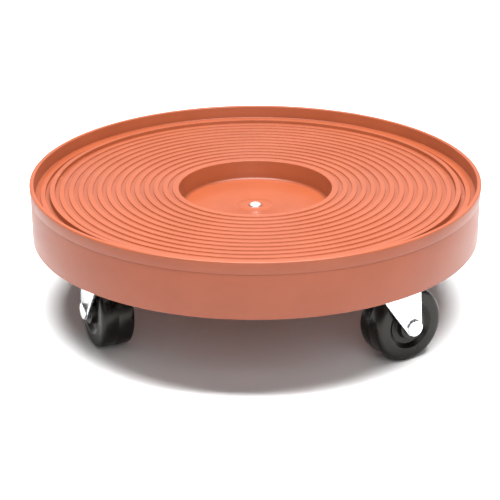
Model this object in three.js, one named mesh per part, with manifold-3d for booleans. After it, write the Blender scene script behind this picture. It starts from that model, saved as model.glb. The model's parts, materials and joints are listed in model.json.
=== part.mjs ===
// Round plant pot caddy: a ribbed plastic saucer on four swivel casters.
// Millimetres, +Z up. The origin is on the floor under the middle of the deck.
// The casters stand on the diagonals, and each fork is turned to its own rest angle.

import * as THREE from 'three';
import { mergeVertices } from 'three/addons/utils/BufferGeometryUtils.js';
import Module from 'manifold-3d';

// ---------- driving dimensions ----------

const GAP = 0.3;                  // left between pieces that touch

// deck
const DECK_TOP = 127;             // floor to the top of the rim
const RIM_RADIUS = 203.2;
const RIM_WIDTH = 4;
const BAND_HEIGHT = 11.4;         // proud band round the rim, above the skirt
const BAND_STEP = 0.9;
const SKIRT_BOTTOM = 75.6;
const SKIRT_FOOT_RADIUS = 201.9;
const WALL = 2.8;
const FLOOR = 3;
const LAND_TOP = 116.5;           // top of the ridges, where a pot stands
const RIDGE_HEIGHT = 0.9;
const TRAY_RADIUS = 198.2;        // foot of the rim's inner wall
const RIDGE_PITCH = 25.4 / 3;
const FIRST_GROOVE = 75;
const GROOVE_WIDTH = 4.1;
const RIDGE_SLOPE = 0.25;         // how far each ridge wall leans
const RIDGE_COUNT = 14;
const DAM_INDEX = 12;             // the one ridge that stands higher than the rest
const DAM_RISE = 2.2;
const DRAIN_DROP = 1.5;           // extra depth of the groove just outside it
const WELL_RADIUS = 69.2;
const WELL_DRAFT = 1.8;
const WELL_FLOOR = 99;
const RIVET_HOLE = 2.7;
const RIVET_SEAT_RADIUS = 6.4;    // shallow seat that holds the rivet's head
const RIVET_SEAT_DEPTH = 0.6;
const DECK_SEGMENTS = 40;

// ribs and caster pads under the deck
const RIB_THICKNESS = 2.6;
const RIB_DEPTH = 14;
const PAD_SIZE = 60;
const PAD_POST = 10;
const PAD_RIB_CLEARANCE = 9;
const PILOT_RADIUS = 1.75;
const PILOT_DEPTH = 14;

// caster, from the top down
const SWIVEL_RADIUS = 160.2;      // deck centre to each swivel axis
const TRAIL = 25;                 // swivel axis to axle
const SHEET = 2.2;                // pressed steel thickness
const PLATE_SIZE = 57;
const PLATE_CORNER = 6;
const PLATE_BOTTOM = 78.2;
const SCREW_OFFSET = 21.5;
const SCREW_HOLE = 2.6;
const SCREW_HEAD_RADIUS = 4;
const SCREW_HEAD_HEIGHT = 2.4;
const COLLAR_OUTER = 21.5;
const COLLAR_WALL = 1.6;
const COLLAR_DROP = 2.6;
const UPPER_BALL = 4.8;
const UPPER_BALL_CIRCLE = 14.5;
const CROWN_TOP = 72.8;
const LOWER_BALL = 3.2;
const LOWER_BALL_CIRCLE = 9.6;
const RACE_RADIUS = 12;
const RACE_THICKNESS = 1.7;
const KINGPIN_RADIUS = 5;
const KINGPIN_HEAD = 8.6;
const KINGPIN_FOOT = 7.2;
const KINGPIN_HEAD_HEIGHT = 2;
const FORK_GAP = 38.6;            // between the legs
const LEG_END_RADIUS = 7.8;
const LEG_SLANT = THREE.MathUtils.degToRad(36.2);   // of the leg's edge on the swivel side
const LEG_LEAN = THREE.MathUtils.degToRad(3.5);     // of its trailing edge

// wheel and axle
const WHEEL_RADIUS = 33.5;
const WHEEL_WIDTH = 30.5;         // of the tyre
const WHEEL_SHOULDER = 4.5;
const WHEEL_SEGMENTS = 20;
const DISH_RADIUS = 21.3;         // round dish in each face, at its mouth and at its floor
const DISH_FLOOR_RADIUS = 17.5;
const DISH_DEPTH = 3;
const HUB_RADIUS = 12.2;          // boss in the middle of the dish
const HUB_LENGTH = 37;
const AXLE_RADIUS = 4;
const SLEEVE_WALL = 1.4;
const AXLE_HEAD_RADIUS = 7.4;
const AXLE_HEAD_THICKNESS = 2;

// centre rivet
const RIVET_SHANK = 2.4;
const RIVET_HEAD_RADIUS = 5.8;
const RIVET_HEAD_HEIGHT = 2;
const RIVET_BORE = 1.3;
const RIVET_BULB = 3.9;
const RIVET_WASHER_RADIUS = 9;
const RIVET_WASHER_THICKNESS = 1.5;

// where each caster stands, and the way its fork trails at rest, in degrees
const CASTERS = [
  { name: 'front_right', azimuth: -45, trail: 36.5 },
  { name: 'front_left', azimuth: -135, trail: 116.5 },
  { name: 'rear_left', azimuth: 135, trail: 152 },
  { name: 'rear_right', azimuth: 45, trail: 18 },
];

// ---------- heights worked out from those ----------

const LAND_FLOOR = LAND_TOP - RIDGE_HEIGHT;
const UNDERSIDE = LAND_FLOOR - FLOOR;
const STEP_HEIGHT = DECK_TOP - BAND_HEIGHT;
const WELL_BOTTOM = WELL_FLOOR - FLOOR;
const PLATE_TOP = PLATE_BOTTOM + SHEET;
const PAD_BOTTOM = PLATE_TOP + GAP;
const CROWN_BOTTOM = CROWN_TOP - SHEET;
const LOWER_BALL_HEIGHT = CROWN_BOTTOM - GAP - LOWER_BALL / 2;
const UPPER_BALL_HEIGHT = CROWN_TOP + GAP + UPPER_BALL / 2;
const RACE_TOP = LOWER_BALL_HEIGHT - LOWER_BALL / 2 - GAP;
const LEG_INNER = FORK_GAP / 2;
const LEG_OUTER = LEG_INNER + SHEET;

// ---------- materials ----------

const finish = (color, roughness, metalness) => ({ color, roughness, metalness });
const TERRACOTTA = finish(0xd9714b, 0.5, 0);
const ZINC = finish(0xc9ced1, 0.3, 0.9);
const STEEL = finish(0x9a9c9e, 0.35, 0.9);
const BLACK_RUBBER = finish(0x232323, 0.55, 0);
const ALUMINIUM = finish(0xd8d9da, 0.3, 0.9);

// ---------- solid modelling helpers ----------

const wasm = await Module();
wasm.setup();

function toSolid(geometry) {
  const bare = geometry.clone();
  bare.deleteAttribute('normal');
  bare.deleteAttribute('uv');
  const merged = mergeVertices(bare, 1e-4);
  const index = merged.index.array;
  const kept = [];
  for (let i = 0; i < index.length; i += 3) {
    const [a, b, c] = [index[i], index[i + 1], index[i + 2]];
    if (a !== b && b !== c && c !== a) kept.push(a, b, c);
  }
  const vertProperties = new Float32Array(merged.attributes.position.array);
  return new wasm.Manifold(new wasm.Mesh({ numProp: 3, vertProperties, triVerts: new Uint32Array(kept) }));
}

function toGeometry(solid) {
  const mesh = solid.getMesh();
  const geometry = new THREE.BufferGeometry();
  geometry.setAttribute('position', new THREE.BufferAttribute(new Float32Array(mesh.vertProperties), 3));
  geometry.setIndex(new THREE.BufferAttribute(new Uint32Array(mesh.triVerts), 1));
  geometry.computeVertexNormals();
  return geometry;
}

function join(...geometries) {
  return toGeometry(geometries.map(toSolid).reduce((whole, next) => whole.add(next)));
}

function cut(geometry, ...tools) {
  return toGeometry(tools.map(toSolid).reduce((rest, tool) => rest.subtract(tool), toSolid(geometry)));
}

// A solid of revolution about Z from [radius, height] points. The outline runs anticlockwise,
// up its outer side, and either starts and ends on the axis or closes on itself.
function turned(outline, segments) {
  const points = outline.map(([radius, height]) => new THREE.Vector2(radius, height));
  const onAxis = points[0].x === 0 && points[points.length - 1].x === 0;
  if (!onAxis) points.push(points[0].clone());
  return new THREE.LatheGeometry(points, segments).rotateX(Math.PI / 2);
}

function block(x0, x1, y0, y1, z0, z1) {
  const geometry = new THREE.BoxGeometry(x1 - x0, y1 - y0, z1 - z0);
  return geometry.translate((x0 + x1) / 2, (y0 + y1) / 2, (z0 + z1) / 2);
}

function drill(radius, z0, z1, x = 0, y = 0, segments = 12) {
  const geometry = new THREE.CylinderGeometry(radius, radius, z1 - z0, segments).rotateX(Math.PI / 2);
  return geometry.translate(x, y, (z0 + z1) / 2);
}

function slab(shape, z0, z1) {
  const options = { depth: z1 - z0, bevelEnabled: false, curveSegments: 4 };
  return new THREE.ExtrudeGeometry(shape, options).translate(0, 0, z0);
}

const corners = (offset) => [[1, 1], [-1, 1], [-1, -1], [1, -1]].map(([x, y]) => [x * offset, y * offset]);

// ---------- deck ----------

// The ribbed floor, from the well's edge out to the rim's inner wall.
function ridgeOutline() {
  const points = [];
  for (let i = 0; i < RIDGE_COUNT; i += 1) {
    const grooveStart = FIRST_GROOVE + i * RIDGE_PITCH;
    const ridgeStart = grooveStart + GROOVE_WIDTH;
    const ridgeEnd = FIRST_GROOVE + (i + 1) * RIDGE_PITCH;
    const top = i === DAM_INDEX ? LAND_TOP + DAM_RISE : LAND_TOP;
    const floor = i === DAM_INDEX + 1 ? LAND_FLOOR - DRAIN_DROP : LAND_FLOOR;
    points.push([grooveStart + RIDGE_SLOPE, floor]);
    points.push([ridgeStart - RIDGE_SLOPE, floor]);
    points.push([ridgeStart, top]);
    points.push([ridgeEnd, top]);
  }
  points.push([FIRST_GROOVE + RIDGE_COUNT * RIDGE_PITCH + RIDGE_SLOPE, LAND_FLOOR]);
  return points;
}

function deckShell() {
  const rimInner = RIM_RADIUS - RIM_WIDTH;
  const wellFoot = WELL_RADIUS - WELL_DRAFT;
  const top = [
    [RIVET_HOLE, WELL_FLOOR - RIVET_SEAT_DEPTH],
    [RIVET_SEAT_RADIUS, WELL_FLOOR - RIVET_SEAT_DEPTH],
    [RIVET_SEAT_RADIUS, WELL_FLOOR],
    [wellFoot - 4, WELL_FLOOR],
    [wellFoot - 1.2, WELL_FLOOR + 1.2],
    [wellFoot, WELL_FLOOR + 4],
    [WELL_RADIUS - 0.4, LAND_TOP - 0.8],
    [WELL_RADIUS + 0.6, LAND_TOP],
    [FIRST_GROOVE, LAND_TOP],
    ...ridgeOutline(),
    [TRAY_RADIUS, LAND_FLOOR],
    [rimInner, DECK_TOP - 0.8],
    [rimInner + 0.8, DECK_TOP],
    [RIM_RADIUS - 0.8, DECK_TOP],
    [RIM_RADIUS, DECK_TOP - 0.8],
    [RIM_RADIUS, STEP_HEIGHT],
    [RIM_RADIUS - BAND_STEP, STEP_HEIGHT],
    [SKIRT_FOOT_RADIUS, SKIRT_BOTTOM],
  ];
  const underside = [
    [SKIRT_FOOT_RADIUS - WALL, SKIRT_BOTTOM],
    [RIM_RADIUS - BAND_STEP - WALL - 0.3, UNDERSIDE],
    [WELL_RADIUS + WALL, UNDERSIDE],
    [wellFoot + WALL - 0.6, WELL_BOTTOM + 2],
    [wellFoot + WALL - 2.6, WELL_BOTTOM],
    [RIVET_HOLE, WELL_BOTTOM],
  ];
  return turned([...underside.reverse(), ...top.reverse()], DECK_SEGMENTS);
}

// A hollow square pad with a post for a screw in each corner and a cross rib inside,
// in the frame of a caster whose radius runs along X.
function padParts() {
  const half = PAD_SIZE / 2;
  const top = UNDERSIDE + 1;
  const parts = [
    block(half - WALL, half, -half, half, PAD_BOTTOM, top),
    block(-half, WALL - half, -half, half, PAD_BOTTOM, top),
    block(-half, half, half - WALL, half, PAD_BOTTOM, top),
    block(-half, half, -half, WALL - half, PAD_BOTTOM, top),
    block(-half, half, -RIB_THICKNESS / 2, RIB_THICKNESS / 2, PAD_BOTTOM + PAD_RIB_CLEARANCE, top),
    block(-RIB_THICKNESS / 2, RIB_THICKNESS / 2, -half, half, PAD_BOTTOM + PAD_RIB_CLEARANCE, top),
  ];
  for (const [x, y] of corners(half - PAD_POST / 2 - 1)) {
    const reach = PAD_POST / 2 + 1;
    parts.push(block(x - reach, x + reach, y - reach, y + reach, PAD_BOTTOM, top));
  }
  return parts;
}

function deckGeometry() {
  const added = [];
  const drilled = [];
  const place = (geometry, azimuth) => geometry.rotateZ(THREE.MathUtils.degToRad(azimuth));
  const rib = (from, to) => {
    const side = RIB_THICKNESS / 2;
    return block(from, to, -side, side, UNDERSIDE - RIB_DEPTH, UNDERSIDE + 1);
  };
  const wellWall = WELL_RADIUS + 1;
  const skirtWall = RIM_RADIUS - BAND_STEP - WALL;
  for (const azimuth of [0, 90, 180, 270]) {
    added.push(place(rib(wellWall, skirtWall - 1), azimuth));
  }
  for (const { azimuth } of CASTERS) {
    added.push(place(rib(wellWall, SWIVEL_RADIUS - PAD_SIZE / 2 + 1), azimuth));
    added.push(place(rib(SWIVEL_RADIUS + PAD_SIZE / 2 - 1, skirtWall - 1), azimuth));
    for (const part of padParts()) {
      added.push(place(part.translate(SWIVEL_RADIUS, 0, 0), azimuth));
    }
    for (const [x, y] of corners(SCREW_OFFSET)) {
      const pilot = drill(PILOT_RADIUS, PAD_BOTTOM - 1, PAD_BOTTOM + PILOT_DEPTH, x + SWIVEL_RADIUS, y, 8);
      drilled.push(place(pilot, azimuth));
    }
  }
  return cut(join(deckShell(), ...added), ...drilled);
}

// ---------- centre rivet ----------

// Blind rivet: a domed head in its seat, a bulb set under the washer, and an open bore.
function rivetGeometry() {
  const headUnder = WELL_FLOOR - RIVET_SEAT_DEPTH + GAP;
  const headTop = headUnder + RIVET_HEAD_HEIGHT;
  const washerBottom = WELL_BOTTOM - GAP - RIVET_WASHER_THICKNESS;
  return turned([
    [RIVET_BORE, washerBottom - 6],
    [RIVET_SHANK, washerBottom - 6],
    [RIVET_BULB, washerBottom - 3.6],
    [RIVET_BULB - 0.4, washerBottom - GAP],
    [RIVET_SHANK, washerBottom - GAP],
    [RIVET_SHANK, headUnder],
    [RIVET_HEAD_RADIUS, headUnder],
    [RIVET_HEAD_RADIUS - 0.9, headUnder + 0.9],
    [RIVET_HEAD_RADIUS - 2.6, headTop],
    [RIVET_BORE, headTop],
  ], 12);
}

// The snapped end of the pulling pin, left inside the rivet, with its head below the bulb.
function mandrelGeometry() {
  const foot = WELL_BOTTOM - RIVET_WASHER_THICKNESS - 9;
  return turned([
    [0, foot],
    [1.5, foot],
    [2, foot + 1],
    [2, foot + 2],
    [RIVET_BORE - GAP, foot + 2.4],
    [RIVET_BORE - GAP, WELL_FLOOR - 1],
    [0, WELL_FLOOR - 1],
  ], 10);
}

function rivetWasherGeometry() {
  const top = WELL_BOTTOM - GAP;
  const bottom = top - RIVET_WASHER_THICKNESS;
  return turned([
    [RIVET_HOLE, bottom],
    [RIVET_WASHER_RADIUS, bottom],
    [RIVET_WASHER_RADIUS, top],
    [RIVET_HOLE, top],
  ], 16);
}

// ---------- caster pieces: swivel axis on Z, fork trailing along +X ----------

function roundedSquare(size, corner) {
  const h = size / 2;
  const shape = new THREE.Shape();
  shape.absarc(h - corner, h - corner, corner, 0, Math.PI / 2);
  shape.absarc(corner - h, h - corner, corner, Math.PI / 2, Math.PI);
  shape.absarc(corner - h, corner - h, corner, Math.PI, 1.5 * Math.PI);
  shape.absarc(h - corner, corner - h, corner, 1.5 * Math.PI, 2 * Math.PI);
  return shape;
}

// Top plate: a square of steel sheet with a collar that hangs round the upper balls.
function topPlateGeometry() {
  const sheet = slab(roundedSquare(PLATE_SIZE, PLATE_CORNER), PLATE_BOTTOM, PLATE_TOP);
  const collar = turned([
    [COLLAR_OUTER - COLLAR_WALL, PLATE_BOTTOM - COLLAR_DROP],
    [COLLAR_OUTER, PLATE_BOTTOM - COLLAR_DROP],
    [COLLAR_OUTER, PLATE_BOTTOM + 1],
    [COLLAR_OUTER - COLLAR_WALL, PLATE_BOTTOM + 1],
  ], 16);
  const from = PLATE_BOTTOM - 1;
  const to = PLATE_TOP + 1;
  const holes = corners(SCREW_OFFSET).map(([x, y]) => drill(SCREW_HOLE, from, to, x, y, 6));
  const kingpinHole = drill(KINGPIN_RADIUS + GAP, from, to);
  return cut(join(sheet, collar), ...holes, kingpinHole);
}

// Pan-head screw, driven up through the plate into a post of the pad.
function screwGeometry() {
  const headTop = PLATE_BOTTOM - GAP;
  const headBottom = headTop - SCREW_HEAD_HEIGHT;
  const tip = PAD_BOTTOM + PILOT_DEPTH - 2;
  return turned([
    [0, headBottom],
    [SCREW_HEAD_RADIUS - 0.8, headBottom],
    [SCREW_HEAD_RADIUS, headTop],
    [PILOT_RADIUS - GAP, headTop],
    [PILOT_RADIUS - GAP, tip],
    [0, tip],
  ], 6);
}

function kingpinGeometry() {
  const foot = RACE_TOP - RACE_THICKNESS - GAP;
  const head = PLATE_TOP + GAP;
  return turned([
    [0, foot - KINGPIN_HEAD_HEIGHT],
    [KINGPIN_FOOT - 1, foot - KINGPIN_HEAD_HEIGHT],
    [KINGPIN_FOOT, foot - KINGPIN_HEAD_HEIGHT + 1],
    [KINGPIN_FOOT, foot],
    [KINGPIN_RADIUS, foot],
    [KINGPIN_RADIUS, head],
    [KINGPIN_HEAD, head],
    [KINGPIN_HEAD - 1, head + KINGPIN_HEAD_HEIGHT],
    [0, head + KINGPIN_HEAD_HEIGHT],
  ], 10);
}

// A row of bearing balls as the ring that they fill.
function ballRingGeometry(circle, ball, height) {
  const r = ball / 2;
  const outline = [];
  for (let i = 0; i < 6; i += 1) {
    const angle = (i * Math.PI) / 3 + Math.PI / 6;
    outline.push([circle + r * Math.cos(angle), height + r * Math.sin(angle)]);
  }
  return turned(outline, 12);
}

function lowerRaceGeometry() {
  return turned([
    [KINGPIN_RADIUS + GAP, RACE_TOP - RACE_THICKNESS],
    [RACE_RADIUS - 1.2, RACE_TOP - RACE_THICKNESS],
    [RACE_RADIUS, RACE_TOP],
    [KINGPIN_RADIUS + GAP, RACE_TOP],
  ], 12);
}

// Fork: a crown plate with a leg each side. Both edges of a leg lean towards the swivel as they
// rise, the one on the swivel side much more, and they meet in a round end about the axle.
const LEG_FRONT = legEdge(Math.PI + LEG_SLANT, LEG_SLANT);
const LEG_REAR = legEdge(LEG_LEAN, LEG_LEAN);

// An edge that leaves the round end at the given angle: where it starts, and where it meets
// the crown's top.
function legEdge(angle, lean) {
  const x = TRAIL + LEG_END_RADIUS * Math.cos(angle);
  const z = WHEEL_RADIUS + LEG_END_RADIUS * Math.sin(angle);
  return { angle, x, z, topX: x - (CROWN_TOP - z) * Math.tan(lean) };
}

function legShape() {
  const shape = new THREE.Shape();
  shape.moveTo(LEG_REAR.topX, CROWN_TOP);
  shape.lineTo(LEG_FRONT.topX, CROWN_TOP);
  shape.lineTo(LEG_FRONT.x, LEG_FRONT.z);
  shape.absarc(TRAIL, WHEEL_RADIUS, LEG_END_RADIUS, LEG_FRONT.angle, 2 * Math.PI + LEG_REAR.angle);
  return shape;
}

// The crown is as wide as the legs, and round on the swivel side from one leg to the other.
function crownShape() {
  const shape = new THREE.Shape();
  const radius = Math.hypot(LEG_FRONT.topX, LEG_OUTER);
  const corner = Math.atan2(LEG_OUTER, LEG_FRONT.topX);
  shape.absarc(0, 0, radius, corner, 2 * Math.PI - corner);
  shape.lineTo(LEG_REAR.topX, -LEG_OUTER);
  shape.lineTo(LEG_REAR.topX, LEG_OUTER);
  return shape;
}

function forkGeometry() {
  const options = { depth: SHEET, bevelEnabled: false, curveSegments: 7 };
  const leg = (y) => {
    const side = new THREE.ExtrudeGeometry(legShape(), options).rotateX(Math.PI / 2);
    return side.translate(0, y + SHEET, 0);
  };
  const crown = new THREE.ExtrudeGeometry(crownShape(), options).translate(0, 0, CROWN_BOTTOM);
  const axleHole = drill(AXLE_RADIUS + GAP, -LEG_OUTER - 1, LEG_OUTER + 1).rotateX(Math.PI / 2);
  axleHole.translate(TRAIL, 0, WHEEL_RADIUS);
  const kingpinHole = drill(KINGPIN_RADIUS + GAP, CROWN_BOTTOM - 1, CROWN_TOP + 1);
  return cut(join(crown, leg(LEG_INNER), leg(-LEG_OUTER)), axleHole, kingpinHole);
}

// ---------- wheel and axle pieces: turned about Z, then laid along Y at the axle ----------

// The tread is a polygon of the wheel's true radius across its flats, and it rests on one of them.
function wheelGeometry() {
  const vertexRadius = WHEEL_RADIUS / Math.cos(Math.PI / WHEEL_SEGMENTS);
  const half = WHEEL_WIDTH / 2;
  const bore = AXLE_RADIUS + GAP + SLEEVE_WALL + GAP;
  const hub = HUB_LENGTH / 2;
  const face = [
    [vertexRadius, half - WHEEL_SHOULDER],
    [vertexRadius - WHEEL_SHOULDER * 0.13, half - WHEEL_SHOULDER * 0.5],
    [vertexRadius - WHEEL_SHOULDER * 0.5, half - WHEEL_SHOULDER * 0.13],
    [vertexRadius - WHEEL_SHOULDER, half],
    [DISH_RADIUS, half],
    [DISH_FLOOR_RADIUS, half - DISH_DEPTH],
    [HUB_RADIUS, half - DISH_DEPTH],
    [HUB_RADIUS, hub - 0.5],
    [HUB_RADIUS - 0.5, hub],
    [bore, hub],
  ];
  const back = face.map(([radius, height]) => [radius, -height]).reverse();
  return turned([...back, ...face], WHEEL_SEGMENTS);
}

function sleeveGeometry() {
  const inner = AXLE_RADIUS + GAP;
  const outer = inner + SLEEVE_WALL;
  const half = LEG_INNER - GAP;
  return turned([[inner, -half], [outer, -half], [outer, half], [inner, half]], 12);
}

const AXLE_SEAT = LEG_OUTER + GAP;
const AXLE_FACE = AXLE_SEAT + AXLE_HEAD_THICKNESS;

// Axle: a headed pin through both legs.
function axleGeometry() {
  return turned([
    [0, -AXLE_FACE],
    [AXLE_HEAD_RADIUS - 1, -AXLE_FACE],
    [AXLE_HEAD_RADIUS, -AXLE_FACE + 1],
    [AXLE_HEAD_RADIUS, -AXLE_SEAT],
    [AXLE_RADIUS, -AXLE_SEAT],
    [AXLE_RADIUS, AXLE_SEAT + 1.5],
    [0, AXLE_SEAT + 1.5],
  ], 12);
}

// Cap pressed on the axle's far end, the same size as its head.
function axleCapGeometry() {
  const socket = AXLE_SEAT + 1.5 + GAP;
  return turned([
    [AXLE_RADIUS + GAP, AXLE_SEAT],
    [AXLE_HEAD_RADIUS, AXLE_SEAT],
    [AXLE_HEAD_RADIUS, AXLE_FACE - 1],
    [AXLE_HEAD_RADIUS - 1, AXLE_FACE],
    [0, AXLE_FACE],
    [0, socket],
    [AXLE_RADIUS + GAP, socket],
  ], 12);
}

// ---------- assembly ----------

function piece(name, geometry, look) {
  const mesh = new THREE.Mesh(geometry, new THREE.MeshStandardMaterial(look));
  mesh.name = name;
  return mesh;
}

function centreRivet() {
  const group = new THREE.Group();
  group.add(piece('centre_rivet', rivetGeometry(), ALUMINIUM));
  group.add(piece('rivet_mandrel', mandrelGeometry(), STEEL));
  group.add(piece('rivet_washer', rivetWasherGeometry(), ZINC));
  return group;
}

// The pieces that are fixed to the deck, square to the deck's radius.
function casterMount(name) {
  const group = new THREE.Group();
  group.add(piece(`${name}_top_plate`, topPlateGeometry(), ZINC));
  group.add(piece(`${name}_kingpin`, kingpinGeometry(), STEEL));
  group.add(piece(`${name}_lower_race`, lowerRaceGeometry(), ZINC));
  corners(SCREW_OFFSET).forEach(([x, y], index) => {
    const screw = piece(`${name}_screw_${index + 1}`, screwGeometry(), ZINC);
    screw.position.set(x, y, 0);
    group.add(screw);
  });
  return group;
}

// The pieces that swivel, with the wheel and its axle laid across them.
function casterSwivel(name) {
  const group = new THREE.Group();
  group.add(piece(`${name}_fork`, forkGeometry(), ZINC));
  const upperBalls = ballRingGeometry(UPPER_BALL_CIRCLE, UPPER_BALL, UPPER_BALL_HEIGHT);
  const lowerBalls = ballRingGeometry(LOWER_BALL_CIRCLE, LOWER_BALL, LOWER_BALL_HEIGHT);
  group.add(piece(`${name}_upper_balls`, upperBalls, STEEL));
  group.add(piece(`${name}_lower_balls`, lowerBalls, STEEL));
  const axleLine = new THREE.Group();
  axleLine.position.set(TRAIL, 0, WHEEL_RADIUS);
  axleLine.rotation.x = -Math.PI / 2;
  const wheel = piece(`${name}_wheel`, wheelGeometry(), BLACK_RUBBER);
  wheel.rotation.z = Math.PI / WHEEL_SEGMENTS;
  axleLine.add(wheel);
  axleLine.add(piece(`${name}_axle_sleeve`, sleeveGeometry(), STEEL));
  axleLine.add(piece(`${name}_axle`, axleGeometry(), ZINC));
  axleLine.add(piece(`${name}_axle_cap`, axleCapGeometry(), ZINC));
  group.add(axleLine);
  return group;
}

const caddy = new THREE.Group();
caddy.add(piece('deck', deckGeometry(), TERRACOTTA));
caddy.add(centreRivet());
for (const { name, azimuth, trail } of CASTERS) {
  const station = new THREE.Group();
  const direction = THREE.MathUtils.degToRad(azimuth);
  station.position.set(SWIVEL_RADIUS * Math.cos(direction), SWIVEL_RADIUS * Math.sin(direction), 0);
  const mount = casterMount(name);
  mount.rotation.z = direction;
  const swivel = casterSwivel(name);
  swivel.rotation.z = THREE.MathUtils.degToRad(trail);
  station.add(mount, swivel);
  caddy.add(station);
}

export default caddy;
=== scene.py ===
# Looks for the plant pot caddy: fine surfaces, materials, soft studio light and camera.
import json
import math

import bmesh
import bpy
from mathutils import Matrix, Vector


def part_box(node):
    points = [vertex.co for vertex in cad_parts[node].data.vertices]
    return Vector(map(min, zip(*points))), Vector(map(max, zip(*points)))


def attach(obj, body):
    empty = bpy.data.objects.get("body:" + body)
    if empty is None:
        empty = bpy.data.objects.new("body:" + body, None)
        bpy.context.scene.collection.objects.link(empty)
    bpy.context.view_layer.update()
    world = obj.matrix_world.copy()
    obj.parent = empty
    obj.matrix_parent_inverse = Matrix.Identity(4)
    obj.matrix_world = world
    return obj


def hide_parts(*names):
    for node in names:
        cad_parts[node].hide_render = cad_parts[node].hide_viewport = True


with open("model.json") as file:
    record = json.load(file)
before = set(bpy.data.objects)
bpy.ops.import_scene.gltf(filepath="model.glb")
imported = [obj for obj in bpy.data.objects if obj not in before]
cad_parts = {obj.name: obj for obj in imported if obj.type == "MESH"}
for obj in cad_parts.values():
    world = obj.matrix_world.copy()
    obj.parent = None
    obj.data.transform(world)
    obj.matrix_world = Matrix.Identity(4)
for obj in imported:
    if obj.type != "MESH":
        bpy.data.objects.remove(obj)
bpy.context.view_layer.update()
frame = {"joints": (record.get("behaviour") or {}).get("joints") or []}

MM = 0.001
GAP = 0.3 * MM  # between pieces that touch

# ---------- deck ----------

DECK_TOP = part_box("deck")[1].z
SKIRT_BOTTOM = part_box("deck")[0].z
RIM_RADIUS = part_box("deck")[1].x
RIM_WIDTH = 4 * MM
BAND_HEIGHT = 11.2 * MM  # of the proud band round the rim, above a fine groove
BAND_STEP = 0.9 * MM
BAND_TAPER = 0.7 * MM  # the band's outer face leans in towards its foot
BAND_GROOVE_DEPTH = 1.0 * MM
BAND_GROOVE_HEIGHT = 0.15 * MM
SKIRT_FOOT_RADIUS = RIM_RADIUS - 1.3 * MM
WALL = 2.8 * MM
FLOOR = 3 * MM
LAND_TOP = DECK_TOP - 10.5 * MM
RIDGE_HEIGHT = 0.9 * MM
TRAY_RADIUS = RIM_RADIUS - 5 * MM
RIDGE_PITCH = 25.4 / 3 * MM
FIRST_GROOVE = 75 * MM
GROOVE_WIDTH = 4.1 * MM
RIDGE_SLOPE = 0.2 * MM
RIDGE_COUNT = 14
DAM_INDEX = 12
DAM_RISE = 2.2 * MM
DRAIN_DROP = 1.5 * MM  # extra depth of the groove just outside the dam
EDGE_ROUND = 0.14 * MM
WELL_RADIUS = 69.2 * MM
WELL_DRAFT = 1.8 * MM
WELL_FLOOR = DECK_TOP - 28 * MM
WELL_FILLET = 4 * MM
WELL_RING_RADIUS = 16 * MM
RIVET_HOLE = 2.7 * MM
RIVET_SEAT_RADIUS = 6.4 * MM
RIVET_SEAT_DEPTH = 0.6 * MM
DECK_SEGMENTS = 288

LAND_FLOOR = LAND_TOP - RIDGE_HEIGHT
UNDERSIDE = LAND_FLOOR - FLOOR
WELL_BOTTOM = WELL_FLOOR - FLOOR
RIB_THICKNESS = 2.6 * MM
RIB_DEPTH = 14 * MM
PAD_SIZE = 60 * MM
PAD_POST = 11 * MM
PAD_RIB_CLEARANCE = 9 * MM

# ---------- casters ----------

CORNERS = ("front_right", "front_left", "rear_left", "rear_right")
SHEET = 2.2 * MM
PLATE_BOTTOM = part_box("front_right_kingpin")[1].z - 4.5 * MM
PLATE_TOP = PLATE_BOTTOM + SHEET
PAD_BOTTOM = PLATE_TOP + GAP
PLATE_SIZE = 57 * MM
PLATE_CORNER = 6 * MM
SCREW_OFFSET = 21.5 * MM
SCREW_HOLE = 2.6 * MM
SCREW_RADIUS = 1.45 * MM
SCREW_LENGTH = 12 * MM
SCREW_HEAD_RADIUS = 4 * MM
SCREW_HEAD_HEIGHT = 2.4 * MM
COLLAR_RADIUS = 21.5 * MM
COLLAR_WALL = 1.6 * MM
COLLAR_DROP = 2.6 * MM
CROWN_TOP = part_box("front_right_fork")[1].z
CROWN_BEND = 4 * MM
UPPER_BALL = 4.8 * MM
UPPER_BALL_CIRCLE = 14.5 * MM
LOWER_BALL = 3.2 * MM
LOWER_BALL_CIRCLE = 9.6 * MM
BALL_COUNT = 18
RACE_RADIUS = 12 * MM
RACE_THICKNESS = 1.7 * MM
KINGPIN_RADIUS = 5 * MM
KINGPIN_HEAD = 8.6 * MM
KINGPIN_FOOT = 7.2 * MM
KINGPIN_HEAD_HEIGHT = 2 * MM
LEG_INNER = 19.3 * MM
LEG_OUTER = LEG_INNER + SHEET
LEG_END_RADIUS = 7.8 * MM
LEG_SLANT = math.radians(36.2)  # of the leg's edge on the swivel side
LEG_LEAN = math.radians(3.5)  # of its trailing edge

WHEEL_RADIUS = 33.5 * MM
WHEEL_WIDTH = 30.5 * MM
WHEEL_SHOULDER = 4.5 * MM
DISH_RADIUS = 21.3 * MM
DISH_FLOOR_RADIUS = 17.5 * MM
DISH_DEPTH = 3 * MM
HUB_RADIUS = 12.2 * MM
HUB_LENGTH = 37 * MM
AXLE_RADIUS = 4 * MM
SLEEVE_WALL = 1.4 * MM
AXLE_HEAD_RADIUS = 7.4 * MM
AXLE_HEAD_THICKNESS = 2 * MM

# ---------- camera, light and floor ----------

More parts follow.
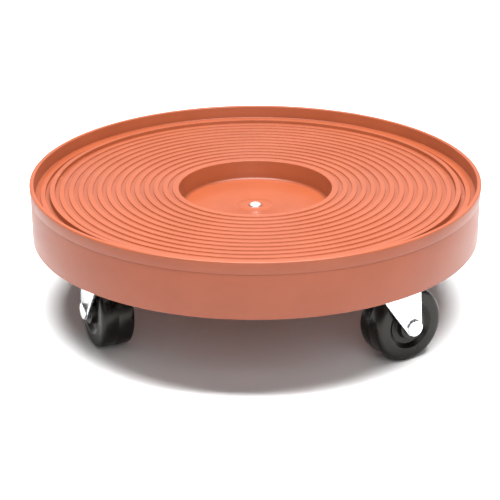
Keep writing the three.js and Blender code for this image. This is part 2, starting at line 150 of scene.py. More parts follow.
ROOM_STRENGTH = 0.03
WALL_STRENGTH = 1.15
WALL_FADE = (0.2, 0.9)  # from room to back wall, along Y of the direction looked in
LOW_WALL_STRENGTH = 0.85
LOW_WALL_FADE = (0.10, 0.16)  # from low wall to room, along Z of that direction
FLOOR_RADIUS = 1.7
OVERHEAD_PLACE = (0.08, -0.3, 1.9)
OVERHEAD_AIM = (0.08, -0.3, 0)
OVERHEAD_SIZE = (1.8, 0.7)
OVERHEAD_POWER = 160
FRONT_PLACE = (0.3, -1.25, 0.95)
FRONT_AIM = (0, 0, 0.03)
FRONT_SIZE = (1.1, 0.9)
FRONT_POWER = 8.6
CAMERA_LENS = 141.93
CAMERA_DISTANCE = 1.7802  # from the middle of the rim
CAMERA_AZIMUTH = math.radians(4.3)
CAMERA_ELEVATION = math.radians(20.24)
CAMERA_TILT = math.radians(-2.1625)
CAMERA_PAN = math.radians(-0.1575)
CAMERA_ROLL = math.radians(-0.114)


# ---------- mesh helpers ----------


def rounded(corners, steps=3, closed=False):
    """Points of an outline whose (x, y, radius) corners are rounded by arcs."""
    points = []
    count = len(corners)
    for i, (x, y, radius) in enumerate(corners):
        here = Vector((x, y))
        is_end = not closed and i in (0, count - 1)
        if radius == 0 or is_end:
            points.append(here)
            continue
        before = Vector(corners[i - 1][:2]) - here
        after = Vector(corners[(i + 1) % count][:2]) - here
        half_angle = before.angle(after) / 2
        reach = min(radius / math.tan(half_angle), before.length * 0.49, after.length * 0.49)
        radius = reach * math.tan(half_angle)
        middle = (before.normalized() + after.normalized()).normalized()
        centre = here + middle * (radius / math.sin(half_angle))
        start = here + before.normalized() * reach - centre
        end = here + after.normalized() * reach - centre
        turn = start.angle_signed(end)
        for step in range(steps + 1):
            spin = Matrix.Rotation(-turn * step / steps, 2)
            points.append(centre + spin @ start)
    return [(p.x, p.y) for p in points]


def mesh_from(bm, name, sharp=35):
    bmesh.ops.remove_doubles(bm, verts=bm.verts, dist=1e-7)
    bmesh.ops.recalc_face_normals(bm, faces=bm.faces)
    mesh = bpy.data.meshes.new(name)
    bm.to_mesh(mesh)
    bm.free()
    mesh.shade_smooth()
    mesh.set_sharp_from_angle(angle=math.radians(sharp))
    return mesh


def add_turned(bm, outline, segments):
    """A solid turned about Z. Its (radius, height) outline closes on itself or on the axis."""
    columns = []
    for radius, height in outline:
        if radius < 1e-9:
            columns.append([bm.verts.new((0, 0, height))] * segments)
            continue
        ring = []
        for i in range(segments):
            angle = 2 * math.pi * i / segments
            ring.append(bm.verts.new((radius * math.cos(angle), radius * math.sin(angle), height)))
        columns.append(ring)
    on_axis = outline[0][0] < 1e-9 and outline[-1][0] < 1e-9
    pairs = list(zip(columns, columns[1:])) + ([] if on_axis else [(columns[-1], columns[0])])
    for lower, upper in pairs:
        for i in range(segments):
            j = (i + 1) % segments
            corners = []
            for vert in (lower[i], lower[j], upper[j], upper[i]):
                if vert not in corners:
                    corners.append(vert)
            if len(corners) > 2:
                bm.faces.new(corners)


def turned(name, outline, segments=64, sharp=35):
    bm = bmesh.new()
    add_turned(bm, outline, segments)
    return mesh_from(bm, name, sharp)


def add_prism(bm, outline, low, high, place=Matrix.Identity(4)):
    """The (x, y) outline extruded from z low to high, then placed."""
    floor = [bm.verts.new(place @ Vector((x, y, low))) for x, y in outline]
    ceiling = [bm.verts.new(place @ Vector((x, y, high))) for x, y in outline]
    bm.faces.new(floor[::-1])
    bm.faces.new(ceiling)
    for i in range(len(outline)):
        j = (i + 1) % len(outline)
        bm.faces.new((floor[i], floor[j], ceiling[j], ceiling[i]))


def prism(name, outline, low, high, place=Matrix.Identity(4)):
    bm = bmesh.new()
    add_prism(bm, outline, low, high, place)
    return mesh_from(bm, name)


def circle(radius, x=0.0, y=0.0, steps=48):
    angles = [2 * math.pi * i / steps for i in range(steps)]
    return [(x + radius * math.cos(a), y + radius * math.sin(a)) for a in angles]


def square(size_x, size_y, x=0.0, y=0.0):
    signs = ((-1, -1), (1, -1), (1, 1), (-1, 1))
    return [(x + sx * size_x / 2, y + sy * size_y / 2) for sx, sy in signs]


def evaluated(obj, name):
    """The object's mesh with its modifiers applied; the object itself is removed."""
    depsgraph = bpy.context.evaluated_depsgraph_get()
    mesh = bpy.data.meshes.new_from_object(obj.evaluated_get(depsgraph))
    mesh.name = name
    bpy.data.objects.remove(obj)
    return mesh


def combined(name, base, steps, bevel=0.0, bevel_angle=40):
    """base with each (operation, mesh) of steps applied, and its sharp edges rounded."""
    for number, (operation, mesh) in enumerate(steps):
        work = bpy.data.objects.new(f"{name}_work", base)
        tool = bpy.data.objects.new(f"{name}_tool", mesh)
        bpy.context.scene.collection.objects.link(work)
        bpy.context.scene.collection.objects.link(tool)
        modifier = work.modifiers.new("boolean", "BOOLEAN")
        modifier.operation = operation
        modifier.solver = "EXACT"
        modifier.object = tool
        base = evaluated(work, f"{name}_{number}")
        bpy.data.objects.remove(tool)
    if bevel:
        work = bpy.data.objects.new(f"{name}_work", base)
        bpy.context.scene.collection.objects.link(work)
        modifier = work.modifiers.new("bevel", "BEVEL")
        modifier.width = bevel
        modifier.segments = 2
        modifier.limit_method = "ANGLE"
        modifier.angle_limit = math.radians(bevel_angle)
        base = evaluated(work, name)
    base.shade_smooth()
    base.set_sharp_from_angle(angle=math.radians(35))
    base.name = name
    return base


def piece(name, mesh, material, body, replaced, place=Matrix.Identity(4)):
    """A visible piece that stands for a CAD node and rides on its body."""
    obj = bpy.data.objects.new(name, mesh)
    bpy.context.scene.collection.objects.link(obj)
    if not mesh.materials:
        mesh.materials.append(material)
    obj.matrix_world = place
    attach(obj, body)
    if replaced:
        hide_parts(replaced)
    return obj


# ---------- material helpers ----------


class Surface:
    """A principled material and the nodes that feed it."""

    def __init__(self, name):
        self.material = bpy.data.materials.new(name)
        self.material.use_nodes = True
        self.tree = self.material.node_tree
        self.shader = self.tree.nodes["Principled BSDF"]
        self.place = self.tree.nodes.new("ShaderNodeTexCoord").outputs["Object"]

    def set(self, **values):
        for key, value in values.items():
            self.shader.inputs[key.replace("_", " ")].default_value = value

    def link(self, output, key):
        self.tree.links.new(output, self.shader.inputs[key])

    def add(self, kind, inputs=None, **settings):
        node = self.tree.nodes.new(kind)
        for key, value in settings.items():
            setattr(node, key, value)
        for key, value in (inputs or {}).items():
            if isinstance(value, bpy.types.NodeSocket):
                self.tree.links.new(value, node.inputs[key])
            else:
                node.inputs[key].default_value = value
        return node

    def stretched(self, scale):
        """The object's coordinates, stretched along its axes."""
        inputs = {"Vector": self.place, "Scale": scale}
        return self.add("ShaderNodeMapping", inputs).outputs["Vector"]

    def noise(self, scale, detail=3.0, roughness=0.5, vector=None):
        inputs = {
            "Vector": vector or self.place,
            "Scale": scale,
            "Detail": detail,
            "Roughness": roughness,
        }
        return self.add("ShaderNodeTexNoise", inputs).outputs["Fac"]

    def spread(self, value, low, high, start=0.3, end=0.7):
        """value, from start to end, spread from low to high."""
        inputs = {"Value": value, "From Min": start, "From Max": end, "To Min": low, "To Max": high}
        return self.add("ShaderNodeMapRange", inputs).outputs["Result"]

    def blend(self, factor, first, second):
        node = self.add("ShaderNodeMix", data_type="RGBA")
        self.tree.links.new(factor, node.inputs["Factor"])
        for key, value in (("A", first), ("B", second)):
            socket = [s for s in node.inputs if s.name == key and s.type == "RGBA"][0]
            if isinstance(value, bpy.types.NodeSocket):
                self.tree.links.new(value, socket)
            else:
                socket.default_value = (*value, 1)
        return [s for s in node.outputs if s.type == "RGBA"][0]

    def bump(self, height, strength, distance, normal=None):
        inputs = {"Height": height, "Strength": strength, "Distance": distance}
        if normal:
            inputs["Normal"] = normal
        return self.add("ShaderNodeBump", inputs).outputs["Normal"]

    def edges(self, start, end):
        """0 on flat stretches, 1 on outer edges."""
        pointiness = self.add("ShaderNodeNewGeometry").outputs["Pointiness"]
        return self.spread(pointiness, 0, 1, start, end)

    def hollows(self, start, end):
        """1 in sharp inner corners, 0 on flat stretches."""
        pointiness = self.add("ShaderNodeNewGeometry").outputs["Pointiness"]
        return self.spread(pointiness, 1, 0, start, end)


# ---------- materials ----------

TERRACOTTA = (0.224, 0.0515, 0.0192)
TERRACOTTA_DEEP = (0.200, 0.0438, 0.0156)
# paler edge colour: part wear, part painted highlight
TERRACOTTA_WORN_AND_HIGHLIGHT = (0.28, 0.086, 0.042)
# painted shade: the colour that sharp inner corners and grooves are darkened to
TERRACOTTA_PAINTED_SHADE = (0.085, 0.0145, 0.005)
ZINC = (0.80, 0.82, 0.83)
ZINC_CLOUD = (0.70, 0.72, 0.74)
STEEL = (0.58, 0.58, 0.59)
STEEL_CLOUD = (0.46, 0.46, 0.48)
ALUMINIUM = (0.90, 0.90, 0.90)
ALUMINIUM_CLOUD = (0.82, 0.82, 0.82)
RUBBER = (0.0030, 0.0029, 0.0027)
RUBBER_BLOOM = (0.0060, 0.0057, 0.0050)
RUBBER_SHEEN = (1.0, 0.94, 0.86, 1)
FLOOR_WHITE = (0.77, 0.77, 0.77, 1)


def terracotta_plastic():
    """Moulded plastic: fine grain, flow marks, edges paler from wear and painted highlight, painted
    shade in the hollows, a satin gloss.
    """
    s = Surface("terracotta_plastic")
    blotch = s.noise(22, 4, 0.6)
    grain = s.noise(1500, 2)
    flow = s.noise(9, 5, 0.65, s.stretched((1, 1, 3)))
    tone = s.blend(s.spread(blotch, 0, 1), TERRACOTTA, TERRACOTTA_DEEP)
    # Outer edges paler: part wear, part painted highlight.
    worn_and_highlit = s.blend(s.edges(0.53, 0.66), tone, TERRACOTTA_WORN_AND_HIGHLIGHT)
    # Painted shade: sharp inner corners and grooves are darkened in the base colour.
    s.link(s.blend(s.hollows(0.43, 0.495), worn_and_highlit, TERRACOTTA_PAINTED_SHADE), "Base Color")
    s.link(s.spread(flow, 0.36, 0.46), "Roughness")
    soft = s.bump(s.noise(60, 3), 0.12, 0.4 * MM)
    s.link(s.bump(grain, 0.10, 0.08 * MM, soft), "Normal")
    s.set(IOR=1.37)
    return s.material


def zinc_plate():
    """Bright zinc on rolled sheet: fine drawing lines and slight clouding."""
    s = Surface("zinc_plate")
    cloud = s.noise(70, 4, 0.6)
    lines = s.noise(500, 2, 0.5, s.stretched((1, 1, 0.12)))
    s.link(s.blend(s.spread(cloud, 0, 1), ZINC, ZINC_CLOUD), "Base Color")
    s.link(s.spread(cloud, 0.20, 0.34), "Roughness")
    s.link(s.bump(lines, 0.08, 0.05 * MM), "Normal")
    s.set(Metallic=1.0)
    return s.material


def bright_steel():
    """Ground steel: darker than the plated sheet, with a fine turned finish."""
    s = Surface("bright_steel")
    cloud = s.noise(150, 3)
    s.link(s.blend(s.spread(cloud, 0, 1), STEEL, STEEL_CLOUD), "Base Color")
    s.link(s.spread(cloud, 0.18, 0.30), "Roughness")
    s.link(s.bump(s.noise(900, 2), 0.05, 0.03 * MM), "Normal")
    s.set(Metallic=1.0)
    return s.material


def rivet_aluminium():
    """Pale aluminium, rougher than the steel, with a fine grain."""
    s = Surface("rivet_aluminium")
    cloud = s.noise(300, 3)
    s.link(s.blend(s.spread(cloud, 0, 1), ALUMINIUM, ALUMINIUM_CLOUD), "Base Color")
    s.link(s.spread(cloud, 0.34, 0.46), "Roughness")
    s.link(s.bump(s.noise(1200, 2), 0.08, 0.03 * MM), "Normal")
    s.set(Metallic=1.0)
    return s.material


def black_rubber():
    """Hard black rubber: a dusty bloom, faint moulding swirls and a soft sheen."""
    s = Surface("black_rubber")
    bloom = s.noise(45, 5, 0.65)
    fine = s.noise(1100, 2)
    swirl = s.noise(160, 3, 0.6, s.stretched((1, 1, 0.3)))
    s.link(s.blend(s.spread(bloom, 0, 1), RUBBER, RUBBER_BLOOM), "Base Color")
    s.link(s.spread(bloom, 0.25, 0.37), "Roughness")
    s.link(s.bump(fine, 0.10, 0.05 * MM, s.bump(swirl, 0.15, 0.12 * MM)), "Normal")
    s.set(IOR=1.32, Specular_Tint=RUBBER_SHEEN)
    return s.material


# ---------- deck ----------


def ridge_outline():
    """Corners of the ribbed floor, from the innermost groove out to the rim's wall."""
    corners = []
    for i in range(RIDGE_COUNT):
        groove_start = FIRST_GROOVE + i * RIDGE_PITCH
        ridge_start = groove_start + GROOVE_WIDTH
        ridge_end = FIRST_GROOVE + (i + 1) * RIDGE_PITCH
        top = LAND_TOP + DAM_RISE if i == DAM_INDEX else LAND_TOP
        floor = LAND_FLOOR - DRAIN_DROP if i == DAM_INDEX + 1 else LAND_FLOOR
        corners.append((groove_start + RIDGE_SLOPE, floor, EDGE_ROUND))
        corners.append((ridge_start - RIDGE_SLOPE, floor, EDGE_ROUND))
        corners.append((ridge_start, top, EDGE_ROUND))
        corners.append((ridge_end, top, EDGE_ROUND))
    last = FIRST_GROOVE + RIDGE_COUNT * RIDGE_PITCH
    corners.append((last + RIDGE_SLOPE, LAND_FLOOR, EDGE_ROUND))
    return corners


def deck_outline():
    """The deck's whole section: its top from the middle out, then its underside back in."""
    rim_inner = RIM_RADIUS - RIM_WIDTH
    step_height = DECK_TOP - BAND_HEIGHT
    well_foot = WELL_RADIUS - WELL_DRAFT
    skirt_top = RIM_RADIUS - BAND_STEP
    ring = 0.35 * MM
    groove = RIM_RADIUS - BAND_GROOVE_DEPTH
    groove_low = step_height - BAND_GROOVE_HEIGHT
    top = [
        (RIVET_HOLE, WELL_FLOOR - RIVET_SEAT_DEPTH, 0),
        (RIVET_SEAT_RADIUS, WELL_FLOOR - RIVET_SEAT_DEPTH, 0),
        (RIVET_SEAT_RADIUS, WELL_FLOOR, 0.2 * MM),
        (WELL_RING_RADIUS - 2 * ring, WELL_FLOOR, 0),
        (WELL_RING_RADIUS, WELL_FLOOR - ring, ring),
        (WELL_RING_RADIUS + 2 * ring, WELL_FLOOR, 0),
        (well_foot - WELL_FILLET - 0.6 * MM, WELL_FLOOR, 0),
        (well_foot, WELL_FLOOR, WELL_FILLET),
        (WELL_RADIUS, LAND_TOP, 0.7 * MM),
        (FIRST_GROOVE, LAND_TOP, EDGE_ROUND),
        *ridge_outline(),
        (TRAY_RADIUS, LAND_FLOOR, 0.6 * MM),
        (rim_inner, DECK_TOP, 0.9 * MM),
        (RIM_RADIUS, DECK_TOP, 1.1 * MM),
        (RIM_RADIUS - BAND_TAPER, step_height, 0.25 * MM),
        (groove, step_height, 0),
        (groove, groove_low, 0),
        (skirt_top, groove_low - 0.1 * MM, 0.4 * MM),
        (SKIRT_FOOT_RADIUS, SKIRT_BOTTOM, 0.4 * MM),
    ]
    underside = [
        (SKIRT_FOOT_RADIUS - WALL, SKIRT_BOTTOM, 0.6 * MM),
        (skirt_top - WALL - 0.3 * MM, UNDERSIDE, 2 * MM),
        (WELL_RADIUS + WALL, UNDERSIDE, 2 * MM),
        (well_foot + WALL - 1 * MM, WELL_BOTTOM, 4 * MM),
        (RIVET_HOLE, WELL_BOTTOM, 0),
    ]
    return rounded(top + underside)


def make_deck(material):
    mesh = turned("deck_moulding", deck_outline(), DECK_SEGMENTS, sharp=50)
    piece("deck_moulding", mesh, material, "deck", "deck")


def make_ribs(material, swivels):
    """Ribs and hollow caster pads moulded under the deck."""
    bm = bmesh.new()
    top = UNDERSIDE + 0.5 * MM
    well_wall = WELL_RADIUS + 1 * MM
    skirt_wall = RIM_RADIUS - BAND_STEP - WALL
    overlap = 1 * MM
    reach = swivels[0].xy.length

    def rib(azimuth, start, end):
        outline = square(end - start, RIB_THICKNESS, (start + end) / 2)
        add_prism(bm, outline, UNDERSIDE - RIB_DEPTH, top, Matrix.Rotation(azimuth, 4, "Z"))

    for quarter in range(4):
        rib(quarter * math.pi / 2, well_wall, skirt_wall - overlap)
    for swivel in swivels:
        azimuth = math.atan2(swivel.y, swivel.x)
        rib(azimuth, well_wall, reach - PAD_SIZE / 2 + overlap)
        rib(azimuth, reach + PAD_SIZE / 2 - overlap, skirt_wall - overlap)
        place = Matrix.Translation((swivel.x, swivel.y, 0)) @ Matrix.Rotation(azimuth, 4, "Z")
        edge = (PAD_SIZE - WALL) / 2
        for side in (-edge, edge):
            add_prism(bm, square(WALL, PAD_SIZE, side, 0), PAD_BOTTOM, top, place)
            add_prism(bm, square(PAD_SIZE, WALL, 0, side), PAD_BOTTOM, top, place)
        low = PAD_BOTTOM + PAD_RIB_CLEARANCE
        add_prism(bm, square(PAD_SIZE, RIB_THICKNESS), low, top, place)
        add_prism(bm, square(RIB_THICKNESS, PAD_SIZE), low, top, place)
        for x, y in square(2 * SCREW_OFFSET, 2 * SCREW_OFFSET):
            add_prism(bm, circle(PAD_POST / 2, x, y, 24), PAD_BOTTOM, top, place)
    mesh = mesh_from(bm, "deck_ribs")
    piece("deck_ribs", mesh, material, "deck", None)


def make_centre_rivet(aluminium, steel, zinc):
    """The blind rivet in the well, the end of its pin and the washer under the floor."""
    seat = WELL_FLOOR - RIVET_SEAT_DEPTH + GAP
    washer_radius = 9 * MM
    washer_top = WELL_BOTTOM - GAP
    washer_bottom = washer_top - 1.5 * MM
    foot = washer_bottom - 6 * MM
    bore, shank, head, bulb = 1.3 * MM, 2.4 * MM, 5.8 * MM, 3.9 * MM
    rivet = [
        (bore, foot, 0),
        (shank, foot, 0.5 * MM),
        (bulb, foot + 2.6 * MM, 1.5 * MM),
        (bulb - 0.4 * MM, washer_bottom - GAP, 0.3 * MM),
        (shank, washer_bottom - GAP, 0),
        (shank, seat, 0),
        (head, seat, 0.2 * MM),
        (head - 0.6 * MM, seat + 0.9 * MM, 0.6 * MM),
        (head - 2.6 * MM, seat + 2 * MM, 2 * MM),
        (bore, seat + 2 * MM, 0.3 * MM),
        (bore, seat + 1.5 * MM, 0),
    ]
    mesh = turned("centre_rivet_body", rounded(rivet, 5), 64)
    piece("centre_rivet_body", mesh, aluminium, "deck", "centre_rivet")
    pin_low, pin_top = (corner.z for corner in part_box("rivet_mandrel"))
    pin_head, pin_shank = 2 * MM, 1 * MM
    pin = [
        (0, pin_low, 0),
        (pin_head, pin_low, 0.6 * MM),
        (pin_head, pin_low + 2 * MM, 0.3 * MM),
        (pin_shank, pin_low + 2.4 * MM, 0),
        (pin_shank, pin_top, 0.15 * MM),
        (0, pin_top - 0.2 * MM, 0),
    ]
    mesh = turned("rivet_pin", rounded(pin), 32)
    piece("rivet_pin", mesh, steel, "deck", "rivet_mandrel")
    washer = [
        (RIVET_HOLE, washer_bottom, 0.2 * MM),
        (washer_radius, washer_bottom, 0.3 * MM),
        (washer_radius, washer_top, 0.3 * MM),
        (RIVET_HOLE, washer_top, 0.2 * MM),
    ]
    mesh = turned("rivet_backing", rounded(washer, closed=True), 64)
    piece("rivet_backing", mesh, zinc, "deck", "rivet_washer")


# ---------- caster meshes: swivel axis on Z, fork trailing along +X ----------


def leg_end(trail, angle):
    """The (x, z) point of a leg's round end at an angle about the axle."""
    x = trail + LEG_END_RADIUS * math.cos(angle)
    z = WHEEL_RADIUS + LEG_END_RADIUS * math.sin(angle)
    return x, z


def leg_edge_top(trail, angle, lean):
    """Where a leg's edge, which leaves its round end at an angle, meets the crown's top."""
    x, z = leg_end(trail, angle)
    return x - (CROWN_TOP - z) * math.tan(lean)


def fork_mesh(trail):
    """Pressed fork: a bent channel cut to the legs' outline, with a round crown."""
    crown_bottom = CROWN_TOP - SHEET
    low = WHEEL_RADIUS - 2 * LEG_END_RADIUS
    channel = rounded([
        (-LEG_OUTER, low, 0),
        (-LEG_INNER, low, 0),
        (-LEG_INNER, crown_bottom, CROWN_BEND - SHEET),
        (LEG_INNER, crown_bottom, CROWN_BEND - SHEET),
        (LEG_INNER, low, 0),
        (LEG_OUTER, low, 0),
        (LEG_OUTER, CROWN_TOP, CROWN_BEND),
        (-LEG_OUTER, CROWN_TOP, CROWN_BEND),
    ], steps=6, closed=True)
    along_x = Matrix(((0, 0, 1, 0), (1, 0, 0, 0), (0, 1, 0, 0), (0, 0, 0, 1)))
    along_y = Matrix(((1, 0, 0, 0), (0, 0, -1, 0), (0, 1, 0, 0), (0, 0, 0, 1)))
    front_angle = math.pi + LEG_SLANT
    front_top = leg_edge_top(trail, front_angle, LEG_SLANT)
    rear_top = leg_edge_top(trail, LEG_LEAN, LEG_LEAN)
    side = [(rear_top, CROWN_TOP + MM), (front_top, CROWN_TOP + MM), (front_top, CROWN_TOP)]
    steps = 16
    for i in range(steps + 1):
        angle = front_angle + (2 * math.pi + LEG_LEAN - front_angle) * i / steps
        side.append(leg_end(trail, angle))
    side.append((rear_top, CROWN_TOP))
    crown_corner = math.atan2(LEG_OUTER - CROWN_BEND, front_top)
    crown_radius = math.hypot(front_top, LEG_OUTER - CROWN_BEND)
    crown_half_width = crown_radius * math.sin(crown_corner)
    crown = [(0, -crown_half_width), (0, crown_half_width)]
    crown_steps = 24
    for i in range(crown_steps + 1):
        angle = crown_corner + 2 * (math.pi - crown_corner) * i / crown_steps
        crown.append((crown_radius * math.cos(angle), crown_radius * math.sin(angle)))
    wide = 2 * LEG_OUTER
    hole = circle(AXLE_RADIUS + GAP, trail, WHEEL_RADIUS)
    pin_hole = circle(KINGPIN_RADIUS + GAP)
    return combined("fork", prism("fork_channel", channel, -wide, wide, along_x), [
        ("INTERSECT", prism("fork_side", side, -wide, wide, along_y)),
        ("UNION", prism("fork_crown", crown, crown_bottom, CROWN_TOP)),
        ("DIFFERENCE", prism("fork_axle_hole", hole, -wide, wide, along_y)),
        ("DIFFERENCE", prism("fork_pin_hole", pin_hole, crown_bottom - MM, CROWN_TOP + MM)),
    ], bevel=0.35 * MM)


def top_plate_mesh():
    """Square plate with rounded corners, screw holes and the collar over the upper balls."""
    corners = [(x, y, PLATE_CORNER) for x, y in square(PLATE_SIZE, PLATE_SIZE)]
    outline = rounded(corners, 6, closed=True)
    collar = rounded([
        (COLLAR_RADIUS - COLLAR_WALL, PLATE_BOTTOM - COLLAR_DROP, 0.5 * MM),
        (COLLAR_RADIUS, PLATE_BOTTOM - COLLAR_DROP, 0.7 * MM),
        (COLLAR_RADIUS, PLATE_BOTTOM + 1 * MM, 0),
        (COLLAR_RADIUS - COLLAR_WALL, PLATE_BOTTOM + 1 * MM, 0),
    ], closed=True)
    steps = [("UNION", turned("plate_collar", collar, 72))]
    for x, y in square(2 * SCREW_OFFSET, 2 * SCREW_OFFSET):
        hole = circle(SCREW_HOLE, x, y, 24)
        steps.append(("DIFFERENCE", prism("plate_hole", hole, PLATE_BOTTOM - MM, PLATE_TOP + MM)))
    middle = circle(KINGPIN_RADIUS + GAP)
    steps.append(("DIFFERENCE", prism("plate_middle", middle, PLATE_BOTTOM - MM, PLATE_TOP + MM)))
    sheet = prism("plate_sheet", outline, PLATE_BOTTOM, PLATE_TOP)
    return combined("top_plate", sheet, steps, 0.25 * MM)


def screw_mesh():
    """Pan-head screw with a cross recess, its head down."""
    head_top = PLATE_BOTTOM - GAP
    head_bottom = head_top - SCREW_HEAD_HEIGHT
    tip = PAD_BOTTOM + SCREW_LENGTH
    outline = rounded([
        (0, head_bottom, 0),
        (SCREW_HEAD_RADIUS, head_bottom, 1.6 * MM),
        (SCREW_HEAD_RADIUS, head_top, 0.2 * MM),
        (SCREW_RADIUS, head_top, 0),
        (SCREW_RADIUS, tip - 2 * MM, 0),
        (0, tip, 0),
    ])
    low, high = head_bottom - MM, head_bottom + 1.3 * MM
    long, short = SCREW_HEAD_RADIUS * 1.1, SCREW_HEAD_RADIUS * 0.25
    return combined("screw", turned("screw_blank", outline, 32), [
        ("DIFFERENCE", prism("screw_slot", square(long, short), low, high)),
        ("DIFFERENCE", prism("screw_cross", square(short, long), low, high)),
    ])


def ball_ring_mesh(name, circle_radius, ball, height):
    bm = bmesh.new()
    for i in range(BALL_COUNT):
        angle = 2 * math.pi * i / BALL_COUNT
        x, y = circle_radius * math.cos(angle), circle_radius * math.sin(angle)
        place = Matrix.Translation((x, y, height))
        bmesh.ops.create_uvsphere(bm, u_segments=16, v_segments=10, radius=ball / 2, matrix=place)
    return mesh_from(bm, name, 60)


def lower_race_mesh(top):
    bottom = top - RACE_THICKNESS
    inner = KINGPIN_RADIUS + GAP
    outline = [
        (inner, bottom, 0.2 * MM),
        (RACE_RADIUS - 1.2 * MM, bottom, 0.8 * MM),
        (RACE_RADIUS, top, 0.2 * MM),
        (inner, top, 0.2 * MM),
    ]
    return turned("lower_race", rounded(outline, closed=True), 64)


def kingpin_mesh(foot):
    head = PLATE_TOP + GAP
    outline = [
        (0, foot - KINGPIN_HEAD_HEIGHT, 0),
        (KINGPIN_FOOT, foot - KINGPIN_HEAD_HEIGHT, 1.2 * MM),
        (KINGPIN_FOOT, foot, 0.2 * MM),
        (KINGPIN_RADIUS, foot, 0),
        (KINGPIN_RADIUS, head, 0),
        (KINGPIN_HEAD, head, 0.3 * MM),
        (KINGPIN_HEAD - 1 * MM, head + KINGPIN_HEAD_HEIGHT, 0.8 * MM),
        (0, head + KINGPIN_HEAD_HEIGHT, 0),
    ]
    return turned("kingpin", rounded(outline), 48)


# ---------- wheel and axle meshes, turned about Z ----------


def wheel_mesh():
    half = WHEEL_WIDTH / 2
    hub = HUB_LENGTH / 2
    bore = AXLE_RADIUS + SLEEVE_WALL + 2 * GAP
    seam = 0.25 * MM
    face = [
        (WHEEL_RADIUS, half, WHEEL_SHOULDER),
        (DISH_RADIUS, half, 1.2 * MM),
        (DISH_FLOOR_RADIUS, half - DISH_DEPTH, 1 * MM),
        (HUB_RADIUS, half - DISH_DEPTH, 0.8 * MM),
        (HUB_RADIUS - 0.4 * MM, hub, 0.8 * MM),
        (bore, hub, 0.4 * MM),
    ]
    back = [(radius, -height, corner) for radius, height, corner in reversed(face)]
    tread = [(WHEEL_RADIUS, -seam, 0), (WHEEL_RADIUS - 0.15 * MM, 0, 0), (WHEEL_RADIUS, seam, 0)]
    return turned("wheel", rounded(back + tread + face, 5, True), 128, sharp=45)


def sleeve_mesh():
    inner = AXLE_RADIUS + GAP
    half = LEG_INNER - GAP
    outer = inner + SLEEVE_WALL
    outline = [(inner, -half), (outer, -half), (outer, half), (inner, half)]
    return turned("axle_sleeve", outline, 48)


def axle_head(seat):
    """Corners of the axle's round head or cap, from its seat to its slightly domed face."""
    face = seat + AXLE_HEAD_THICKNESS
    return [
        (AXLE_HEAD_RADIUS, seat, 0.2 * MM),
        (AXLE_HEAD_RADIUS, face - 0.5 * MM, 1.1 * MM),
        (0, face, 0),
    ]


def axle_mesh(seat):
    head = [(radius, -height, corner) for radius, height, corner in reversed(axle_head(seat))]
    end = seat + 1.5 * MM
    shank = [(AXLE_RADIUS, -seat, 0), (AXLE_RADIUS, end, 0.4 * MM), (0, end, 0)]
    return turned("axle", rounded(head + shank, 5), 64)


def axle_cap_mesh(seat):
    socket = seat + 1.5 * MM + GAP
    inner = AXLE_RADIUS + GAP
    outline = [(0, socket, 0), (inner, socket, 0), (inner, seat, 0), *axle_head(seat)]
    return turned("axle_cap", rounded(outline, 5), 64)


def make_casters(joints, zinc, steel, rubber):
    lower_ball_height = CROWN_TOP - SHEET - GAP - LOWER_BALL / 2
    upper_ball_height = CROWN_TOP + GAP + UPPER_BALL / 2
    race_top = lower_ball_height - LOWER_BALL / 2 - GAP
    seat = LEG_OUTER + GAP
    first_swivel = Vector(joints["front_right_swivel"]["pos_m"])
    first_axle = Vector(joints["front_right_roll"]["pos_m"])
    trail = (first_axle.xy - first_swivel.xy).length
    mounted = {
        "top_plate": (top_plate_mesh(), zinc, "zinc_plate"),
        "kingpin": (kingpin_mesh(race_top - RACE_THICKNESS - GAP), steel, "bright_steel"),
        "lower_race": (lower_race_mesh(race_top), zinc, "zinc_plate"),
    }
    upper_balls = ball_ring_mesh("upper_balls", UPPER_BALL_CIRCLE, UPPER_BALL, upper_ball_height)
    lower_balls = ball_ring_mesh("lower_balls", LOWER_BALL_CIRCLE, LOWER_BALL, lower_ball_height)
    swivelling = {
        "fork": (fork_mesh(trail), zinc, "zinc_plate"),
        "upper_balls": (upper_balls, steel, "bright_steel"),
        "lower_balls": (lower_balls, steel, "bright_steel"),
    }
    on_axle = {
        "axle_sleeve": (sleeve_mesh(), steel, "bright_steel"),
        "axle": (axle_mesh(seat), zinc, "zinc_plate"),
        "axle_cap": (axle_cap_mesh(seat), zinc, "zinc_plate"),
    }
    screw = screw_mesh()
    wheel = wheel_mesh()
    for corner in CORNERS:
        swivel = Vector(joints[f"{corner}_swivel"]["pos_m"])
        axle = Vector(joints[f"{corner}_roll"]["pos_m"])
        stand = Matrix.Translation((swivel.x, swivel.y, 0))
        mount = stand @ Matrix.Rotation(math.atan2(swivel.y, swivel.x), 4, "Z")
        heading = (axle - swivel).xy
        turn = Matrix.Rotation(math.atan2(heading.y, heading.x), 4, "Z")
        axle_line = Matrix.Translation(axle) @ turn @ Matrix.Rotation(-math.pi / 2, 4, "X")
        caster = f"{corner}_caster"
        groups = (
            (mounted, "deck", mount),
            (swivelling, caster, stand @ turn),
            (on_axle, caster, axle_line),
        )
        for parts, body, place in groups:
            for part, (mesh, material, slot) in parts.items():
                node = f"{corner}_{part}"
                piece(f"{node}_fine", mesh, material, body, node, place)
        for number in range(1, 5):
            node = f"{corner}_screw_{number}"
            low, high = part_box(node)
            centre = (low + high) / 2
            place = Matrix.Translation((centre.x, centre.y, 0))
            piece(f"{node}_fine", screw, zinc, "deck", node, place)
        node = f"{corner}_wheel"
        piece(f"{node}_fine", wheel, rubber, f"{corner}_roller", node, axle_line)


# ---------- stage ----------


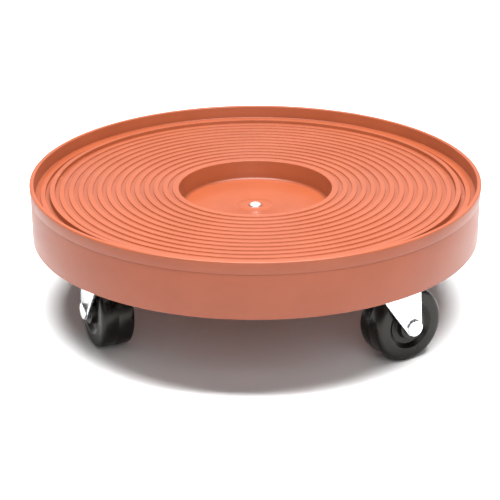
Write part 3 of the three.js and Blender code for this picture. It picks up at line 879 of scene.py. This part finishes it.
def make_floor():
    """A round pale floor that fills the main view."""
    s = Surface("studio_floor")
    s.link(s.spread(s.noise(4, 3), 0.86, 0.90), "Roughness")
    s.set(Base_Color=FLOOR_WHITE)
    outline = circle(FLOOR_RADIUS, steps=96)
    mesh = bpy.data.meshes.new("floor")
    mesh.from_pydata([(x, y, 0) for x, y in outline], [], [tuple(range(len(outline)))])
    mesh.materials.append(s.material)
    floor = bpy.data.objects.new("floor", mesh)
    bpy.context.scene.collection.objects.link(floor)


def make_world():
    """White studio walls low all round, higher behind, and a dim room above them."""
    world = bpy.data.worlds.new("studio")
    world.use_nodes = True
    tree = world.node_tree
    background = tree.nodes["Background"]
    direction = tree.nodes.new("ShaderNodeTexCoord").outputs["Generated"]
    axes = tree.nodes.new("ShaderNodeSeparateXYZ")
    tree.links.new(direction, axes.inputs[0])
    brighter = tree.nodes.new("ShaderNodeMath")
    brighter.operation = "MAXIMUM"
    fades = (
        ("Y", WALL_FADE, (ROOM_STRENGTH, WALL_STRENGTH)),
        ("Z", LOW_WALL_FADE, (LOW_WALL_STRENGTH, 0)),
    )
    for number, (axis, directions, strengths) in enumerate(fades):
        fade = tree.nodes.new("ShaderNodeMapRange")
        tree.links.new(axes.outputs[axis], fade.inputs["Value"])
        fade.inputs["From Min"].default_value, fade.inputs["From Max"].default_value = directions
        fade.inputs["To Min"].default_value, fade.inputs["To Max"].default_value = strengths
        tree.links.new(fade.outputs["Result"], brighter.inputs[number])
    tree.links.new(brighter.outputs["Value"], background.inputs["Strength"])
    background.inputs["Color"].default_value = (1, 1, 1, 1)
    bpy.context.scene.world = world


def make_light(name, place, aim, size, power):
    """A rectangular soft light that the camera doesn't see."""
    data = bpy.data.lights.new(name, "AREA")
    data.shape = "RECTANGLE"
    data.size, data.size_y = size
    data.energy = power
    light = bpy.data.objects.new(name, data)
    light.location = place
    light.rotation_mode = "QUATERNION"
    light.rotation_quaternion = (Vector(aim) - Vector(place)).to_track_quat("-Z", "Y")
    light.visible_camera = False
    bpy.context.scene.collection.objects.link(light)


def make_camera():
    """The camera swings round the middle of the rim, then pans and tilts a little off it."""
    data = bpy.data.cameras.new("camera")
    data.lens = CAMERA_LENS
    data.clip_end = 100
    camera = bpy.data.objects.new("camera", data)
    bpy.context.scene.collection.objects.link(camera)
    target = Vector((0, 0, DECK_TOP))
    elevation = CAMERA_ELEVATION
    back = Vector((0, -math.cos(elevation), math.sin(elevation)))
    forward = -back
    right = Vector((1, 0, 0))
    up = right.cross(forward)
    tilt = Matrix.Rotation(CAMERA_TILT, 3, right)
    forward, up = tilt @ forward, tilt @ up
    pan = Matrix.Rotation(-CAMERA_PAN, 3, up)
    forward, right = pan @ forward, pan @ right
    roll = Matrix.Rotation(-CAMERA_ROLL, 3, forward)
    right, up = roll @ right, roll @ up
    frame_axes = Matrix((right, up, -forward)).transposed().to_4x4()
    swing = Matrix.Rotation(CAMERA_AZIMUTH, 4, "Z")
    place = Matrix.Translation(target) @ swing @ Matrix.Translation(back * CAMERA_DISTANCE)
    camera.matrix_world = place @ frame_axes
    bpy.context.scene.camera = camera


def main():
    joints = {joint["name"]: joint for joint in frame["joints"]}
    swivels = [Vector(joints[f"{corner}_swivel"]["pos_m"]) for corner in CORNERS]
    terracotta = terracotta_plastic()
    zinc = zinc_plate()
    steel = bright_steel()
    make_deck(terracotta)
    make_ribs(terracotta, swivels)
    make_centre_rivet(rivet_aluminium(), steel, zinc)
    make_casters(joints, zinc, steel, black_rubber())
    make_floor()
    make_world()
    make_light("overhead", OVERHEAD_PLACE, OVERHEAD_AIM, OVERHEAD_SIZE, OVERHEAD_POWER)
    make_light("front", FRONT_PLACE, FRONT_AIM, FRONT_SIZE, FRONT_POWER)
    make_camera()
    bpy.context.scene.view_settings.view_transform = "Standard"


main()
